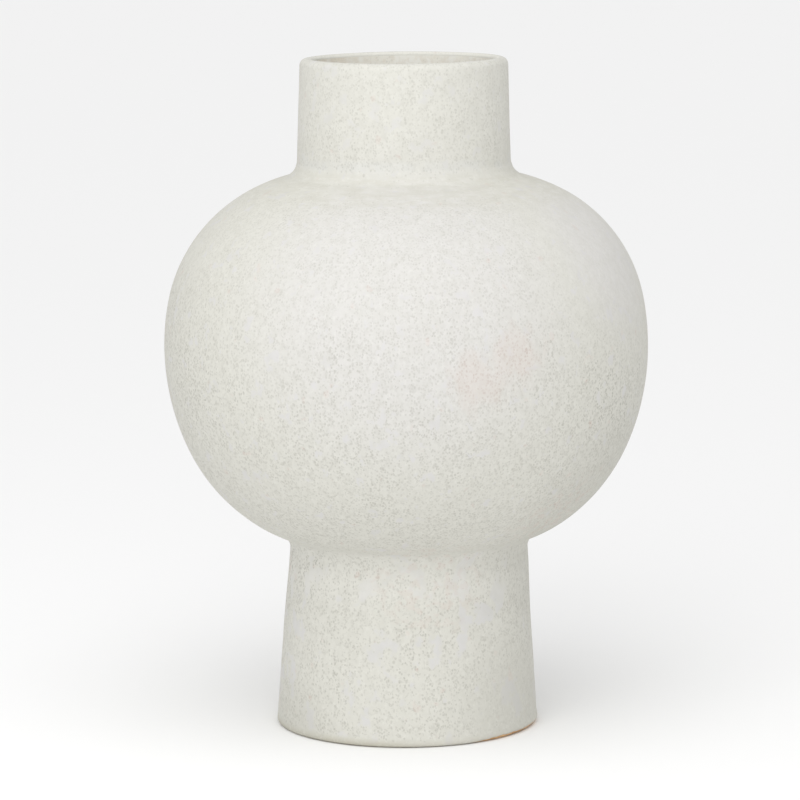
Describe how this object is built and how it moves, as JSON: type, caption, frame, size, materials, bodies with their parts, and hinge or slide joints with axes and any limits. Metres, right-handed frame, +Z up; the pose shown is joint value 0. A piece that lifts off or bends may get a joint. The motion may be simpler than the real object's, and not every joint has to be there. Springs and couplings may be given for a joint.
{
  "type": "stoneware vase",
  "caption": "Round-bodied stoneware vase with a collar neck on a hollow tapered pedestal foot, matte speckled glaze; holds stems or stands as an ornament.",
  "frame": {"origin": "centre of the standing ring, on the surface the vase stands on", "axes": "+Z up along the vase's axis of revolution; the vase is the same all round, so +X and +Y are free, and -Y is taken as the front"},
  "size_m": [0.2166, 0.2166, 0.3],
  "materials": {
    "bare_clay": "unglazed, rubbed smooth, warm buff",
    "body_clay": "unglazed fired stoneware, hidden under the glazes",
    "outer_glaze": "matte off-white glaze with a fine olive-grey speckle",
    "liner_glaze": "satin matte off-white glaze"
  },
  "bodies": {
    "root": {"foot_section": "bare_clay", "bulb_lower": "body_clay", "bulb_upper": "body_clay", "neck_collar": "body_clay", "outer_glaze": "outer_glaze", "liner_glaze": "liner_glaze"}
  },
  "joints": []
}
